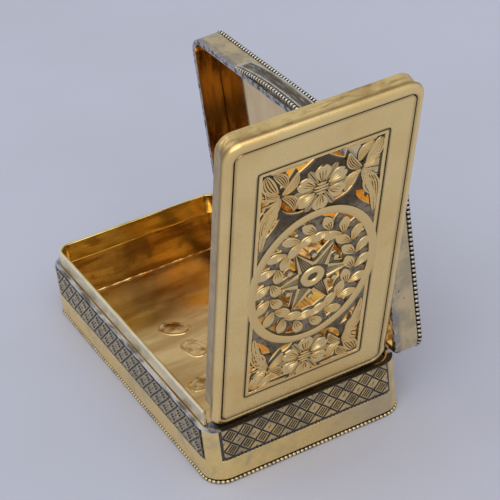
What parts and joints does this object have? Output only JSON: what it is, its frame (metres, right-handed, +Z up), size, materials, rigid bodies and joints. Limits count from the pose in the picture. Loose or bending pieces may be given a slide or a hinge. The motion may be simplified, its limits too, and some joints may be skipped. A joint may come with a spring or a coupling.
{
  "type": "vinaigrette",
  "caption": "Small silver-gilt vinaigrette: hinged rectangular box with engraved lattice sides, open lid and a hinged inner cover pierced with foliage, wreath and star.",
  "frame": {"origin": "middle of the underside of the floor plate", "axes": "+Z up, +X along the box to the end with the pierced cover's hinge, -Y to the side with the thumbpiece"},
  "size_m": [0.0432, 0.0215, 0.0368],
  "materials": {
    "worn_gilt": "worn gilding on silver, satin with fine scratches",
    "inside_gilt": "deep polished gilding, hardly worn",
    "bare_silver": "silver showing through the gilding, dull grey"
  },
  "bodies": {
    "case": {"floor_plate": "inside_gilt", "side_band": "worn_gilt", "base_milled_wire": "worn_gilt", "inner_rim": "inside_gilt", "lid_hinge_bearer": "inside_gilt", "case_lid_tubes": "worn_gilt", "lid_hinge_pin": "bare_silver", "cover_hinge_bearer": "bare_silver", "case_cover_tubes": "worn_gilt", "cover_hinge_pin": "bare_silver"},
    "lid": {"lid_top": "inside_gilt", "lid_wall": "worn_gilt", "lid_milled_wire": "worn_gilt", "thumbpiece": "worn_gilt", "thumbpiece_milled_wire": "worn_gilt", "lid_tubes": "worn_gilt"},
    "cover": {"cover_plate": "worn_gilt", "cover_half_round_wire": "worn_gilt", "cover_flange": "worn_gilt", "cover_tubes": "worn_gilt"}
  },
  "joints": [
    {"name": "lid_hinge", "type": "hinge", "parent": "case", "child": "lid", "pos_m": [0, 0.00905, 0.0055], "axis": [-1, 0, 0], "range_deg": [-5, 11.5]},
    {"name": "cover_hinge", "type": "hinge", "parent": "case", "child": "cover", "pos_m": [0.0156, 0, 0.00645], "axis": [0, 1, 0], "range_deg": [-107.4, 2.5]}
  ]
}
